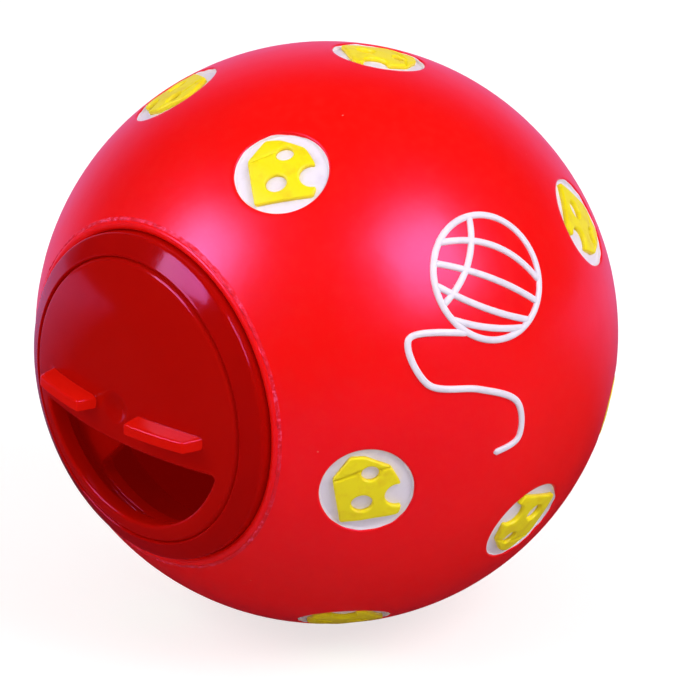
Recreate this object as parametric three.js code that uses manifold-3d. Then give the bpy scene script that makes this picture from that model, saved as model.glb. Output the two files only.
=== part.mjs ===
import * as THREE from "three";
import { mergeVertices } from "three/addons/utils/BufferGeometryUtils.js";
import Module from "manifold-3d";

// Treat ball for a cat. Lengths are in millimetres and angles in degrees. The ball touches the floor
// at the origin, +Z is up, and its mouth looks along -Y. It is made of three mouldings: a soft hollow
// ball, a rigid insert that is pushed into the ball's mouth, and a dial that turns on the insert.
// A height on the mouth's axis is measured from the ball's centre towards the mouth.

// Ball
const ballRadius = 35;
const ballWall = 2.4;

// Mouth of the ball: a rolled lip outside, and a flange inside that the insert grips
const mouthRadius = 20.15;
const lipWidth = 0.85;
const lipProud = 0.35;
const flangeDepth = 1.7;
const flangeStep = 1.6;
const flangeThickness = 2.4;

// Insert
const fitGap = 0.3;
const bezelWidth = 2.5;
const bezelProud = 0.5;
const bezelShoulder = 0.5;
const barbGrip = 0.9;
const barbFace = 0.7;
const barbTaper = 1.9;
const plateThickness = 1.8;
const plateDepth = 1.9;
const plateEdge = 2.7;
const plateLedge = 0.75;
const bossRim = 1;

// Dial: its crown lies a little lower than the ball's own surface would
const dialGap = 0.25;
const dialSink = 0.8;
const dialThickness = 2.2;
const windowBorder = 2.2;
const windowEdge = 4.5;
const windowCorner = 0.4;
const dimpleRadius = 2.3;
const dimpleDepth = 0.45;

// Finger ribs on the dial
const ribNear = 3.4;
const ribFar = 13;
const ribHeight = 2.6;
const ribWidth = 1.65;
const ribRound = 0.3;
const ribRoot = 0.9;
const ribSlant = 0.5;
const ribDrop = 0.6;

// Pivot: a hub that seats on the plate, and a slit stud that snaps through it
const studRadius = 2.3;
const hubShoulder = 1.3;
const pivotGap = 0.3;
const snapCatch = 0.75;
const snapLand = 0.5;
const snapTaper = 1.8;
const snapTip = 0.9;
const slitWidth = 0.9;
const slitFoot = 0.5;

// How the two windows lie: each angle turns a window clockwise as seen from in front of the mouth
const dialTurn = 3;
const plateTurn = -40;

// Round badges sunk in the ball. A place is its angle from the lip of the mouth, then its angle round
// the mouth's axis, then the turn of its drawing. The mould's two halves are alike, so each place holds
// two badges.
const badgeRadius = 5.6;
const badgeDepth = 0.6;
const badgePlaces = [
  [22.5, 68.9, -32],
  [64.5, 86.9, -119],
  [83.4, 33.3, -123],
  [17.6, -12.8, 18],
  [57.1, -27.2, 162],
  [34.5, -64, 150],
  [93.8, -18.5, 61],
];

// Cheese wedge on each badge, level with the ball's surface and drawn in badge radii
const wedgeCorners = [
  [-0.68, -0.66],
  [-0.66, 0.44],
  [-0.21, 0.88],
  [0.1, 0.82],
  [0.59, 0.48],
  [0.72, 0.08],
  [0.65, -0.57],
  [0.56, -0.74],
];
const wedgeBite = [0.61, -0.25, 0.27];
const wedgeHoles = [
  [0.14, 0.42, 0.19],
  [-0.15, -0.26, 0.22],
];

// Ball of wool drawn in raised lines, once on each half
const woolPlace = [47.6, 28.6, -34];
const woolRadius = 7.4;
const lineFoot = 1.1;
const lineCrest = 0.6;
const lineProud = 0.35;
const lineStep = 3;

// How finely the round shapes are cut up
const roundSteps = 40;
const badgeSteps = 16;
const holeSteps = 6;
const domeSteps = 4;
const lipSteps = 4;

const ballRed = 0xe0150f;
const insertRed = 0xa80a05;
const dialRed = 0xb80d06;
const badgeWhite = 0xf2ecf6;
const cheeseYellow = 0xf2e01c;

const wasm = await Module();
wasm.setup();

const { degToRad } = THREE.MathUtils;

// A closed geometry as a solid that can be cut and joined
function solidOf(geometry) {
  const bare = new THREE.BufferGeometry();
  bare.setAttribute("position", geometry.getAttribute("position"));
  bare.setIndex(geometry.index);
  const merged = mergeVertices(bare, 1e-4);
  return new wasm.Manifold(
    new wasm.Mesh({
      numProp: 3,
      vertProperties: new Float32Array(merged.getAttribute("position").array),
      triVerts: new Uint32Array(merged.index.array),
    }),
  );
}

// The solid's surface as loose triangles, so that each face can have its own normal and paint
function geometryOf(solid) {
  const mesh = solid.getMesh();
  const geometry = new THREE.BufferGeometry();
  geometry.setAttribute("position", new THREE.BufferAttribute(mesh.vertProperties, mesh.numProp));
  geometry.setIndex(new THREE.BufferAttribute(mesh.triVerts, 1));
  const faces = geometry.toNonIndexed();
  faces.computeVertexNormals();
  return faces;
}

function joined(solids) {
  return solids.reduce((whole, next) => whole.add(next));
}

// A body of revolution about the mouth's axis from [radius, height] points, which run so that the
// material is on their left; heights point along -Y
function turned(profile) {
  const points = profile.map(([radius, height]) => new THREE.Vector2(radius, -height));
  return new THREE.LatheGeometry(points.reverse(), roundSteps);
}

// Points of an arc about a centre on the profile, from one angle to another, both ends included
function arcPoints(centreRadius, centreHeight, radius, from, to, steps) {
  return Array.from({ length: steps + 1 }, (_, i) => {
    const angle = degToRad(from + ((to - from) * i) / steps);
    return [centreRadius + radius * Math.cos(angle), centreHeight + radius * Math.sin(angle)];
  });
}

// The height at which a sphere about the ball's centre has this radius from the mouth's axis
function sphereHeight(sphereRadius, radius) {
  return Math.sqrt(sphereRadius ** 2 - radius ** 2);
}

function angleOf(sphereRadius, radius) {
  return THREE.MathUtils.radToDeg(Math.acos(radius / sphereRadius));
}

// Sizes that follow from the ones above
const lipRadius = mouthRadius + lipWidth;
const flangeRadius = mouthRadius - flangeStep;
const flangeFront = sphereHeight(ballRadius, lipRadius) - flangeDepth;
const flangeBack = flangeFront - flangeThickness;
const rimRadius = mouthRadius - fitGap;
const pocketRadius = rimRadius - bezelWidth;
const pocketHeight = sphereHeight(ballRadius + bezelProud, pocketRadius);
const dialRadius = pocketRadius - dialGap;
const dialCrown = ballRadius - dialSink;
const dialRise = dialCrown - pocketHeight;
const domeRadius = (dialRadius ** 2 + dialRise ** 2) / (2 * dialRise);
const plateFront = dialThickness + plateDepth;
const plateBack = plateFront + plateThickness;
const boreRadius = studRadius + pivotGap;
const hubRadius = studRadius + hubShoulder;
const windowRadius = dialRadius - windowBorder;

// The height of the dial's dome at a radius, or of a surface that lies deeper along the axis
function domeHeight(radius, depth = 0) {
  return dialCrown - depth - domeRadius + sphereHeight(domeRadius, radius);
}

function domePoints(from, to, depth, steps = domeSteps) {
  return Array.from({ length: steps + 1 }, (_, i) => {
    const radius = from + ((to - from) * i) / steps;
    return [radius, domeHeight(radius, depth)];
  });
}

// A half-moon window below a straight edge, with rounded corners
function halfMoon(radius, edge, corner) {
  const middle = edge + corner;
  const across = Math.sqrt((radius - corner) ** 2 - middle ** 2);
  const end = Math.atan2(-middle, across);
  const outline = new THREE.Shape();
  outline.moveTo(-across, -edge);
  outline.lineTo(across, -edge);
  outline.absarc(across, -middle, corner, Math.PI / 2, end, true);
  outline.absarc(0, 0, radius, end, -Math.PI - end, true);
  outline.absarc(-across, -middle, corner, Math.PI - end, Math.PI / 2, true);
  return outline;
}

// A prism along the mouth's axis, from an outline drawn as seen from in front of the mouth
function alongAxis(outline, from, to, curveSegments = roundSteps / 2) {
  const geometry = new THREE.ExtrudeGeometry(outline, {
    depth: to - from,
    bevelEnabled: false,
    curveSegments,
  });
  geometry.rotateX(Math.PI / 2);
  geometry.translate(0, -from, 0);
  return solidOf(geometry);
}

// Soft ball: wall, rolled lip and gripping flange in one moulding
function makeBallBody() {
  const innerRadius = ballRadius - ballWall;
  const lipRound = lipWidth / 2;
  const lipHeight = sphereHeight(ballRadius, lipRadius) + lipProud - lipRound;
  const flangeAngle = 90 - angleOf(innerRadius, flangeBack);
  const profile = [
    ...arcPoints(0, 0, ballRadius, -90, angleOf(ballRadius, lipRadius), roundSteps / 2),
    ...arcPoints(lipRadius - lipRound, lipHeight, lipRound, 0, 180, lipSteps),
    [mouthRadius, flangeFront],
    [flangeRadius, flangeFront],
    [flangeRadius, flangeBack],
    ...arcPoints(0, 0, innerRadius, flangeAngle, -90, roundSteps / 4),
  ];
  return solidOf(turned(profile));
}

// The frame of a drawing on the ball: its right, its up, and the way out of the ball
function placeOnBall([fromLip, around, turn]) {
  const polar = Math.asin(lipRadius / ballRadius) + degToRad(fromLip);
  const azimuth = degToRad(around);
  const out = new THREE.Vector3(
    Math.sin(polar) * Math.cos(azimuth),
    -Math.cos(polar),
    Math.sin(polar) * Math.sin(azimuth),
  );
  const up = new THREE.Vector3(-Math.sin(azimuth), 0, Math.cos(azimuth)).applyAxisAngle(
    out,
    degToRad(turn),
  );
  const right = new THREE.Vector3().crossVectors(up, out);
  return new THREE.Matrix4().makeBasis(right, up, out);
}

// Both mould halves: one as placed, and one turned half round the mouth's axis
const halves = [new THREE.Matrix4(), new THREE.Matrix4().makeRotationY(Math.PI)];

function onBothHalves(place) {
  return halves.map((half) => half.clone().multiply(placeOnBall(place)));
}

function roundOutline([x, y, radius], steps) {
  const outline = new THREE.Shape();
  for (let i = 0; i < steps; i++) {
    const angle = (2 * Math.PI * i) / steps;
    outline[i ? "lineTo" : "moveTo"](x + radius * Math.cos(angle), y + radius * Math.sin(angle));
  }
  return outline;
}

// A prism through the ball's surface, standing on a drawing's frame
function badgePrism(outline, frame) {
  const geometry = new THREE.ExtrudeGeometry(outline, {
    depth: ballWall,
    bevelEnabled: false,
    curveSegments: 1,
  });
  geometry.translate(0, 0, ballRadius - ballWall / 2 - badgeDepth);
  geometry.applyMatrix4(frame);
  return solidOf(geometry);
}

// What is cut out of the ball for one badge: its round ground, less the wedge that stays standing
function badgeCut(frame) {
  const drawn = (sizes) => sizes.map((size) => size * badgeRadius);
  const corners = wedgeCorners.map((corner) => new THREE.Vector2(...drawn(corner)));
  const ground = badgePrism(roundOutline([0, 0, badgeRadius], badgeSteps), frame);
  const wedge = badgePrism(new THREE.Shape(corners), frame);
  const gaps = [wedgeBite, ...wedgeHoles].map((gap) =>
    badgePrism(roundOutline(drawn(gap), holeSteps), frame),
  );
  return ground.subtract(gaps.reduce((rest, gap) => rest.subtract(gap), wedge));
}

// A direction out of the ball, for a point that lies x and y along the surface from a drawing's middle
function onSurface(point, frame) {
  const away = point.length();
  const angle = away / ballRadius;
  const across = away > 0 ? Math.sin(angle) / away : 0;
  return new THREE.Vector3(point.x * across, point.y * across, Math.cos(angle)).applyMatrix4(frame);
}

// A raised line along drawn points: its foot is in the ball and its crest is narrower
function ridge(points, closed, frame) {
  const outs = points.map((point) => onSurface(point, frame));
  const count = outs.length;
  const corners = [];
  outs.forEach((out, i) => {
    const before = outs[closed ? (i + count - 1) % count : Math.max(i - 1, 0)];
    const after = outs[closed ? (i + 1) % count : Math.min(i + 1, count - 1)];
    const side = new THREE.Vector3().subVectors(after, before).cross(out).normalize();
    const foot = out.clone().multiplyScalar(ballRadius - lineProud);
    const crest = out.clone().multiplyScalar(ballRadius + lineProud);
    corners.push(
      ...foot.clone().addScaledVector(side, lineFoot / 2),
      ...crest.clone().addScaledVector(side, lineCrest / 2),
      ...crest.clone().addScaledVector(side, -lineCrest / 2),
      ...foot.clone().addScaledVector(side, -lineFoot / 2),
    );
  });
  const index = [];
  const quad = (a, b, c, d) => index.push(a, c, b, a, d, c);
  for (let i = 0; i < (closed ? count : count - 1); i++) {
    const here = 4 * i;
    const next = 4 * ((i + 1) % count);
    for (let side = 0; side < 4; side++) {
      const other = (side + 1) % 4;
      quad(here + side, here + other, next + other, next + side);
    }
  }
  if (!closed) {
    const last = 4 * (count - 1);
    quad(3, 2, 1, 0);
    quad(last, last + 1, last + 2, last + 3);
  }
  const geometry = new THREE.BufferGeometry();
  geometry.setAttribute("position", new THREE.Float32BufferAttribute(corners, 3));
  geometry.setIndex(index);
  return solidOf(geometry);
}

// The lines of the wool: the round outline, turns wound over it two ways, and a loose end
function woolLines() {
  const rim = (angle) =>
    new THREE.Vector2(Math.cos(degToRad(angle)), Math.sin(degToRad(angle))).multiplyScalar(
      woolRadius,
    );
  const bowed = (from, to, bow) => {
    const start = rim(from);
    const end = rim(to);
    const middle = start.clone().add(end).multiplyScalar(0.5);
    const across = new THREE.Vector2(start.y - end.y, end.x - start.x).normalize();
    return new THREE.QuadraticBezierCurve(
      start,
      middle.addScaledVector(across, bow * woolRadius),
      end,
    );
  };
  const looseEnd = new THREE.SplineCurve([
    rim(-100),
    new THREE.Vector2(-1.1, -1.35).multiplyScalar(woolRadius),
    new THREE.Vector2(-0.55, -1.95).multiplyScalar(woolRadius),
    new THREE.Vector2(0.35, -1.75).multiplyScalar(woolRadius),
    new THREE.Vector2(1.15, -1.7).multiplyScalar(woolRadius),
    new THREE.Vector2(1.5, -2.2).multiplyScalar(woolRadius),
    new THREE.Vector2(1.15, -2.6).multiplyScalar(woolRadius),
  ]);
  return [
    bowed(165, 15, 0.5),
    bowed(185, -5, 0.12),
    bowed(205, -25, -0.2),
    bowed(120, 225, 0.35),
    bowed(-35, -120, 0.15),
    looseEnd,
  ];
}

function woolRidges(frame) {
  const stepsOf = (length) => Math.max(Math.round(length / lineStep), 3);
  const outlineSteps = stepsOf(2 * Math.PI * woolRadius);
  const outline = Array.from({ length: outlineSteps }, (_, i) => {
    const angle = (2 * Math.PI * i) / outlineSteps;
    return new THREE.Vector2(Math.cos(angle), Math.sin(angle)).multiplyScalar(woolRadius);
  });
  const windings = woolLines().map((line) =>
    ridge(line.getSpacedPoints(stepsOf(line.getLength())), false, frame),
  );
  return joined([ridge(outline, true, frame), ...windings]);
}

// The ball with its badges sunk and its raised lines
function makeBall() {
  const floorBall = solidOf(
    turned(arcPoints(0, 0, ballRadius - badgeDepth, -90, 90, roundSteps / 2)),
  );
  const badges = joined(badgePlaces.flatMap(onBothHalves).map(badgeCut)).subtract(floorBall);
  const wool = joined(onBothHalves(woolPlace).map(woolRidges));
  return makeBallBody().subtract(badges).add(wool);
}

// Paints each face of the ball by where it lies: badge ground, wedge top or wall, raised line, or bare
function paintBall(geometry) {
  const position = geometry.getAttribute("position");
  const badgeFrames = badgePlaces.flatMap(onBothHalves).map((frame) => frame.invert());
  const colours = new Float32Array(position.count * 3);
  const corners = [new THREE.Vector3(), new THREE.Vector3(), new THREE.Vector3()];
  for (let i = 0; i < position.count; i += 3) {
    corners.forEach((corner, k) => corner.fromBufferAttribute(position, i + k));
    const middle = corners[0].clone().add(corners[1]).add(corners[2]).divideScalar(3);
    const lowest = Math.min(...corners.map((corner) => corner.length()));
    const highest = Math.max(...corners.map((corner) => corner.length()));
    const within = badgeFrames
      .map((frame) => middle.clone().applyMatrix4(frame))
      .find(({ x, y, z }) => z > 0 && Math.hypot(x, y) < badgeRadius - 0.05);
    let paint = ballRed;
    if (within && highest < ballRadius - badgeDepth / 2) paint = badgeWhite;
    else if (within) paint = cheeseYellow;
    else if (highest > ballRadius + lineProud / 2 && -middle.y < flangeFront) paint = badgeWhite;
    if (lowest < ballRadius - ballWall / 2) paint = ballRed;
    const colour = new THREE.Color(paint);
    for (let k = 0; k < 3; k++) colour.toArray(colours, 3 * (i + k));
  }
  geometry.setAttribute("color", new THREE.BufferAttribute(colours, 3));
  return geometry;
}

// Insert: bezel and groove ring with a domed half plate inside, which carries the pivot
function makeInsert() {
  const grooveRadius = flangeRadius - fitGap;
  const grooveFront = flangeFront + fitGap;
  const grooveBack = flangeBack - fitGap;
  const barbRadius = grooveRadius + barbGrip;
  const ringBack = grooveBack - barbFace - barbTaper;
  const shoulderRadius = rimRadius - bezelShoulder;
  const shoulderSphere = ballRadius + bezelProud - bezelShoulder;
  const shoulderHeight = sphereHeight(shoulderSphere, shoulderRadius);
  const shoulderEnd = angleOf(shoulderSphere, shoulderRadius);
  const shoulder = arcPoints(shoulderRadius, shoulderHeight, bezelShoulder, 0, shoulderEnd, 3);
  const plateFrontLine = domePoints(boreRadius, pocketRadius, plateFront);
  const plateBackLine = domePoints(boreRadius, pocketRadius, plateBack).reverse();
  const profile = [
    [pocketRadius, ringBack],
    [grooveRadius, ringBack],
    [barbRadius, grooveBack - barbFace],
    [barbRadius, grooveBack],
    [grooveRadius, grooveBack],
    [grooveRadius, grooveFront],
    [rimRadius, grooveFront],
    ...shoulder,
    [pocketRadius, pocketHeight],
    ...plateFrontLine.reverse(),
    ...plateBackLine.reverse(),
    [pocketRadius, ringBack],
  ];
  const ring = solidOf(turned(profile));
  const opening = halfMoon(pocketRadius - plateLedge, plateEdge, windowCorner);
  const boss = alongAxis(roundOutline([0, 0, hubRadius + bossRim], badgeSteps), 0, ballRadius);
  return ring.subtract(alongAxis(opening, ringBack, dialCrown).subtract(boss));
}

// One finger rib: its root is sunk in the dome and its crest follows the dome
function makeRib(side) {
  const crest = Array.from({ length: domeSteps }, (_, i) => {
    const along = ribNear + ribSlant + ((ribFar - ribNear - 2 * ribSlant) * i) / (domeSteps - 1);
    return [along, domeHeight(along) + ribHeight];
  });
  const outline = new THREE.Shape(
    [
      [ribNear, domeHeight(ribNear) - ribRoot],
      [ribFar, domeHeight(ribFar) - ribRoot],
      ...crest.reverse(),
    ].map(([along, height]) => new THREE.Vector2(along, height)),
  );
  const geometry = new THREE.ExtrudeGeometry(outline, {
    depth: ribWidth - 2 * ribRound,
    bevelThickness: ribRound,
    bevelSize: ribRound,
    bevelOffset: -ribRound,
    bevelSegments: 2,
  });
  geometry.translate(0, 0, -ribWidth / 2 + ribRound);
  geometry.rotateX(Math.PI);
  if (side < 0) geometry.rotateY(Math.PI);
  geometry.translate(0, 0, -ribDrop);
  return solidOf(geometry);
}

// Dial: a domed disc with a half-moon window, two ribs, and the pivot on its back
function makeDial() {
  const plateSeat = domeHeight(hubRadius, plateFront) + pivotGap;
  const plateBehind = domeHeight(boreRadius, plateBack) - pivotGap;
  const snapRadius = studRadius + snapCatch;
  const landEnd = plateBehind - snapLand;
  const dialUnder = domePoints(hubRadius, dialRadius, dialThickness);
  const dialFace = domePoints(dimpleRadius, dialRadius, 0).reverse();
  const profile = [
    [0, landEnd - snapTaper],
    [snapRadius - snapTip, landEnd - snapTaper],
    [snapRadius, landEnd],
    [snapRadius, plateBehind],
    [studRadius, plateBehind],
    [studRadius, plateSeat],
    [hubRadius, plateSeat],
    ...dialUnder,
    ...dialFace,
    [0, domeHeight(0) - dimpleDepth],
  ];
  const disc = solidOf(turned(profile));
  const windowBack = domeHeight(dialRadius, plateFront);
  const window = alongAxis(halfMoon(windowRadius, windowEdge, windowCorner), windowBack, dialCrown);
  const slitTop = plateSeat - slitFoot;
  const slitEnd = landEnd - snapTaper - slitFoot;
  const slit = new THREE.BoxGeometry(slitWidth, slitTop - slitEnd, 2 * snapRadius + slitWidth);
  slit.translate(0, -(slitTop + slitEnd) / 2, 0);
  return joined([disc.subtract(window).subtract(solidOf(slit)), makeRib(1), makeRib(-1)]);
}

function mesh(name, geometry, finish) {
  const made = new THREE.Mesh(geometry, new THREE.MeshStandardMaterial(finish));
  made.name = name;
  return made;
}

const treatBall = new THREE.Group();
const ballCentre = new THREE.Group();
ballCentre.position.z = ballRadius;
treatBall.add(ballCentre);

ballCentre.add(
  mesh("ball_shell", paintBall(geometryOf(makeBall())), {
    vertexColors: true,
    roughness: 0.42,
    metalness: 0,
  }),
);

const insert = mesh("insert_ring", geometryOf(makeInsert()), {
  color: insertRed,
  roughness: 0.16,
  metalness: 0,
});
insert.rotation.y = degToRad(plateTurn);
ballCentre.add(insert);

const dial = mesh("turning_dial", geometryOf(makeDial()), {
  color: dialRed,
  roughness: 0.14,
  metalness: 0,
});
dial.rotation.y = degToRad(dialTurn);
ballCentre.add(dial);

export default treatBall;
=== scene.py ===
import math

import bmesh
import bpy
import numpy as np
from mathutils import Matrix, Vector
from mathutils.geometry import delaunay_2d_cdt


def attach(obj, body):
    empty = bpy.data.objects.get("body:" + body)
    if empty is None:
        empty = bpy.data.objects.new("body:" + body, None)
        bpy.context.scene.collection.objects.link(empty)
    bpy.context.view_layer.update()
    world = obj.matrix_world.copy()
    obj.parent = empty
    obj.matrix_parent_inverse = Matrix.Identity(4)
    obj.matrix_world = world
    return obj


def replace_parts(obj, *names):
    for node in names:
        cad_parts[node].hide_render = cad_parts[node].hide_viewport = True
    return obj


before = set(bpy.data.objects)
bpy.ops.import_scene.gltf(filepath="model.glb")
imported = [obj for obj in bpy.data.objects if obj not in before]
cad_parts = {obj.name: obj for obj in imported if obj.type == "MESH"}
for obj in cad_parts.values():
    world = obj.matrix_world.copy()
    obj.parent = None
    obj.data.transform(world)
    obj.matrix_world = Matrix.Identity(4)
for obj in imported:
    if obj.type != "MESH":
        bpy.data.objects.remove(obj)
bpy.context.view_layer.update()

# A treat ball for a cat: a soft vinyl ball with sunk badges, and a hard insert in its mouth with a dial.
# Shapes are worked out in millimetres about the ball's centre. The mouth looks along -Y, and a height
# is measured along the mouth's axis from the centre towards the mouth.

ball = {
    "radius": 35.0,
    "wall": 2.4,
    "mouthRadius": 20.15,
    "lipWidth": 0.85,
    "lipProud": 0.35,
    "lipHug": 0.24,  # how far the soft lip leans in towards the insert
    "rollAngles": [30, 50, 72, 95, 118, 142, 162, 180, 205],
    "flangeDepth": 1.7,
    "flangeStep": 1.6,
    "flangeThickness": 2.4,
    "chamfer": 0.12,
    "mouthChamfer": 0.15,
    "flash": 0.1,  # height of the ragged line where the mould was trimmed
    "flashWidth": 0.32,
    # shares of the flash's width outside the lip, and of its height
    "flashSection": [(1, 0), (0.7, 0.75), (0.4, 1), (0.12, 0.7), (-0.12, 0.1)],
    "flashWaves": (5, 23, 41, 67, 89, 113),
    "flashTorn": 0.45,
    "flashWander": 0.0016,
    "grid": 1.35,  # spacing of the points on the bare surface
    "roundSteps": 420,
    "innerRows": 41,
    "lipMargin": 0.4,  # the flat rings round the lip start here
    "lipRings": 0.5,  # and are this far apart
    "bareMargin": 1.3,  # where the evenly spread points begin
}


def sphereHeight(sphereRadius, radius):
    return math.sqrt(sphereRadius**2 - radius**2)


def fillPlane(flat, loops):
    # Triangles over flat points; the loops of point numbers stay as edges. Gives the points back, as
    # loops that touch may add some, then the triangles, and each given point's new number.
    edges = [edge for loop in loops for edge in zip(loop, loop[1:] + loop[:1])]
    found = delaunay_2d_cdt([Vector(p) for p in flat.tolist()], edges, [], 0, 1e-7)
    points = np.array([tuple(v) for v in found[0]])
    triangles = np.array(found[2])
    number = {old: new for new, olds in enumerate(found[3]) for old in olds}
    return points, triangles, number


def inside(points, loop):
    # Whether each point lies in a closed outline
    x, y = points[:, :1], points[:, 1:2]
    x1, y1 = loop[:, 0], loop[:, 1]
    x2, y2 = np.roll(x1, -1), np.roll(y1, -1)
    spans = (y1 > y) != (y2 > y)
    rise = np.where(np.abs(y2 - y1) < 1e-12, 1e-12, y2 - y1)
    crossed = spans & (x < (x2 - x1) * (y - y1) / rise + x1)
    return crossed.sum(axis=1) % 2 == 1


def distanceTo(points, line, closed=True):
    # Each point's distance to a line through points, worked out in batches to save memory
    start = line if closed else line[:-1]
    end = np.roll(line, -1, axis=0) if closed else line[1:]
    span = end - start
    length = np.maximum((span**2).sum(axis=1), 1e-12)
    best, batch = [], 2000
    for first in range(0, len(points), batch):
        part = points[first : first + batch, None, :] - start[None]
        share = np.clip((part * span[None]).sum(axis=2) / length, 0, 1)
        away = part - share[..., None] * span[None]
        best.append(np.sqrt((away**2).sum(axis=2)).min(axis=1))
    return np.concatenate(best) if best else np.zeros(0)


rowSpacing = 0.866  # of evenly spread points, as a share of the spacing in a row


def hexPoints(reach, step):
    # Evenly spread points over a disc
    rows = int(reach / step) + 2
    made = []
    for row in range(-rows, rows + 1):
        for column in range(-rows, rows + 1):
            made.append(((column + 0.5 * (row % 2)) * step, row * step * rowSpacing))
    made = np.array(made)
    return made[np.hypot(made[:, 0], made[:, 1]) < reach]


def ring(radius, steps):
    angles = 2 * np.pi * np.arange(steps) / steps
    return radius * np.stack([np.cos(angles), np.sin(angles)], 1)


def lengthAlong(line):
    # Distance from a line's start to each of its points
    return np.concatenate([[0], np.cumsum(np.linalg.norm(np.diff(line, axis=0), axis=1))])


def pointsAt(line, places):
    # Points at the given distances along a line
    length = lengthAlong(line)
    return np.stack([np.interp(places, length, line[:, k]) for k in (0, 1)], 1)


def evenly(line, step, closed=False):
    # The same line in even steps, four or more
    line = np.concatenate([line, line[:1]]) if closed else line
    length = lengthAlong(line)[-1]
    places = np.linspace(0, length, max(int(length / step), 4) + 1)
    return pointsAt(line, places[:-1] if closed else places)


def easedEdge(distance, rounding):
    # How far a rounded edge falls below the top at a distance from the side
    near = np.clip(rounding - distance, 0, rounding)
    return rounding - np.sqrt(np.maximum(rounding**2 - near**2, 0))


def numbered(lines):
    # Point numbers of lines that follow one another
    ends = np.cumsum([len(line) for line in lines])
    return [list(range(end - len(line), end)) for line, end in zip(lines, ends)]


def rowNumbers(first, rows, steps):
    return [list(range(first + k * steps, first + (k + 1) * steps)) for k in range(rows)]


def keepUsed(triangles, loops):
    # The points that the triangles use, then the triangles and loops in their new numbers
    used = sorted(set(triangles.ravel().tolist()))
    new = {old: i for i, old in enumerate(used)}
    faces = [tuple(new[i] for i in triangle) for triangle in triangles.tolist()]
    return used, faces, [[new[i] for i in loop] for loop in loops]


def stripFaces(rowA, rowB):
    # Quads between two closed rows of point numbers
    count = len(rowA)
    return [(rowA[i], rowA[(i + 1) % count], rowB[(i + 1) % count], rowB[i]) for i in range(count)]


def ladder(rows):
    # Quads from each row of point numbers to the next
    return [face for a, b in zip(rows, rows[1:]) for face in stripFaces(a, b)]


def turnedAbout(points, degrees):
    # Clockwise as seen from in front of the mouth
    c, s = math.cos(math.radians(degrees)), math.sin(math.radians(degrees))
    x, y, z = points[:, 0], points[:, 1], points[:, 2]
    return np.stack([x * c + z * s, y, -x * s + z * c], 1)


def alongMouth(flat, heights):
    return np.stack([flat[:, 0], -np.broadcast_to(heights, len(flat)), flat[:, 1]], 1)


def turnedRows(profile, steps):
    # Points of a body of revolution, one row for each (radius, height)
    return np.concatenate([alongMouth(ring(radius, steps), height) for radius, height in profile])


def inScene(points):
    # Millimetres about the ball's centre as metres above the floor
    return ((points + np.array([0, 0, ball["radius"]])) / 1000).tolist()


def addObject(name, data):
    made = bpy.data.objects.new(name, data)
    bpy.context.scene.collection.objects.link(made)
    return made


def makePiece(name, points, faces, materials, body, faceMaterials=None):
    mesh = bpy.data.meshes.new(name)
    mesh.from_pydata(inScene(points), [], [tuple(int(i) for i in face) for face in faces])
    if faceMaterials is not None:
        mesh.polygons.foreach_set("material_index", np.array(faceMaterials, np.int32))
    surface = bmesh.new()
    surface.from_mesh(mesh)
    bmesh.ops.recalc_face_normals(surface, faces=surface.faces)
    volume = surface.calc_volume(signed=True)
    if volume < 0:
        bmesh.ops.reverse_faces(surface, faces=surface.faces)
    openEdges = sum(1 for edge in surface.edges if len(edge.link_faces) != 2)
    surface.to_mesh(mesh)
    surface.free()
    mesh.polygons.foreach_set("use_smooth", np.ones(len(mesh.polygons), bool))
    for material in materials:
        mesh.materials.append(material)
    piece = addObject(name, mesh)
    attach(piece, body)
    print(f"{name}: {len(mesh.polygons)} faces, {openEdges} open edges, {abs(volume) * 1e9:.0f} mm3")
    return piece


# Materials


def toLinear(colour):
    # An sRGB hex colour as linear red, green, blue and alpha
    parts = [int(colour[i : i + 2], 16) / 255 for i in (0, 2, 4)]
    return [c / 12.92 if c <= 0.04045 else ((c + 0.055) / 1.055) ** 2.4 for c in parts] + [1.0]


def setInputs(node, inputs):
    # Another node's output is linked; a hex colour or a number is set
    for key, value in inputs.items():
        if isinstance(value, bpy.types.NodeSocket):
            node.id_data.links.new(value, node.inputs[key])
        else:
            node.inputs[key].default_value = toLinear(value) if isinstance(value, str) else value


def addNode(tree, kind, inputs, output=0, **options):
    node = tree.nodes.new("ShaderNode" + kind)
    for key, value in options.items():
        setattr(node, key, value)
    setInputs(node, inputs)
    return node.outputs[output]


def startMaterial(name, colour, ior, sheen="FFFFFF"):
    material = bpy.data.materials.new(name)
    material.use_nodes = True
    material.diffuse_color = toLinear(colour)
    tree = material.node_tree
    shader = tree.nodes["Principled BSDF"]
    setInputs(shader, {"Base Color": colour, "IOR": ior, "Specular Tint": sheen})
    return material, tree, shader, addNode(tree, "TexCoord", {}, "Object")


rangeInputs = ("From Min", "From Max", "To Min", "To Max")


def patches(tree, place, sizeMm, detail, fine, low, high, least=0.0, most=1.0):
    # Soft patches about sizeMm across: least where the noise is at low, most where it is at high
    settings = {"Vector": place, "Scale": 1000 / sizeMm, "Detail": detail, "Roughness": fine}
    noise = addNode(tree, "TexNoise", settings, "Fac")
    limits = zip(rangeInputs, (low, high, least, most))
    return addNode(tree, "MapRange", {"Value": noise, **dict(limits)})


def addRelief(tree, shader, place, layers):
    # Bumps of a real size and depth, layer by layer, the last one on top
    below = {}
    for sizeMm, detail, fine, depthMm in layers:
        settings = {"Vector": place, "Scale": 1000 / sizeMm, "Detail": detail, "Roughness": fine}
        height = addNode(tree, "TexNoise", settings, "Fac")
        depth = {"Strength": 1.0, "Distance": depthMm / 1000}
        below = {"Normal": addNode(tree, "Bump", {"Height": height, **depth, **below})}
    setInputs(shader, below)


# In each look, patches are (size in mm, detail, fine share, the noise's low and high, and where they
# aren't 0 and 1, least and most), and a layer of relief is (size in mm, detail, fine share, depth in mm).

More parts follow.
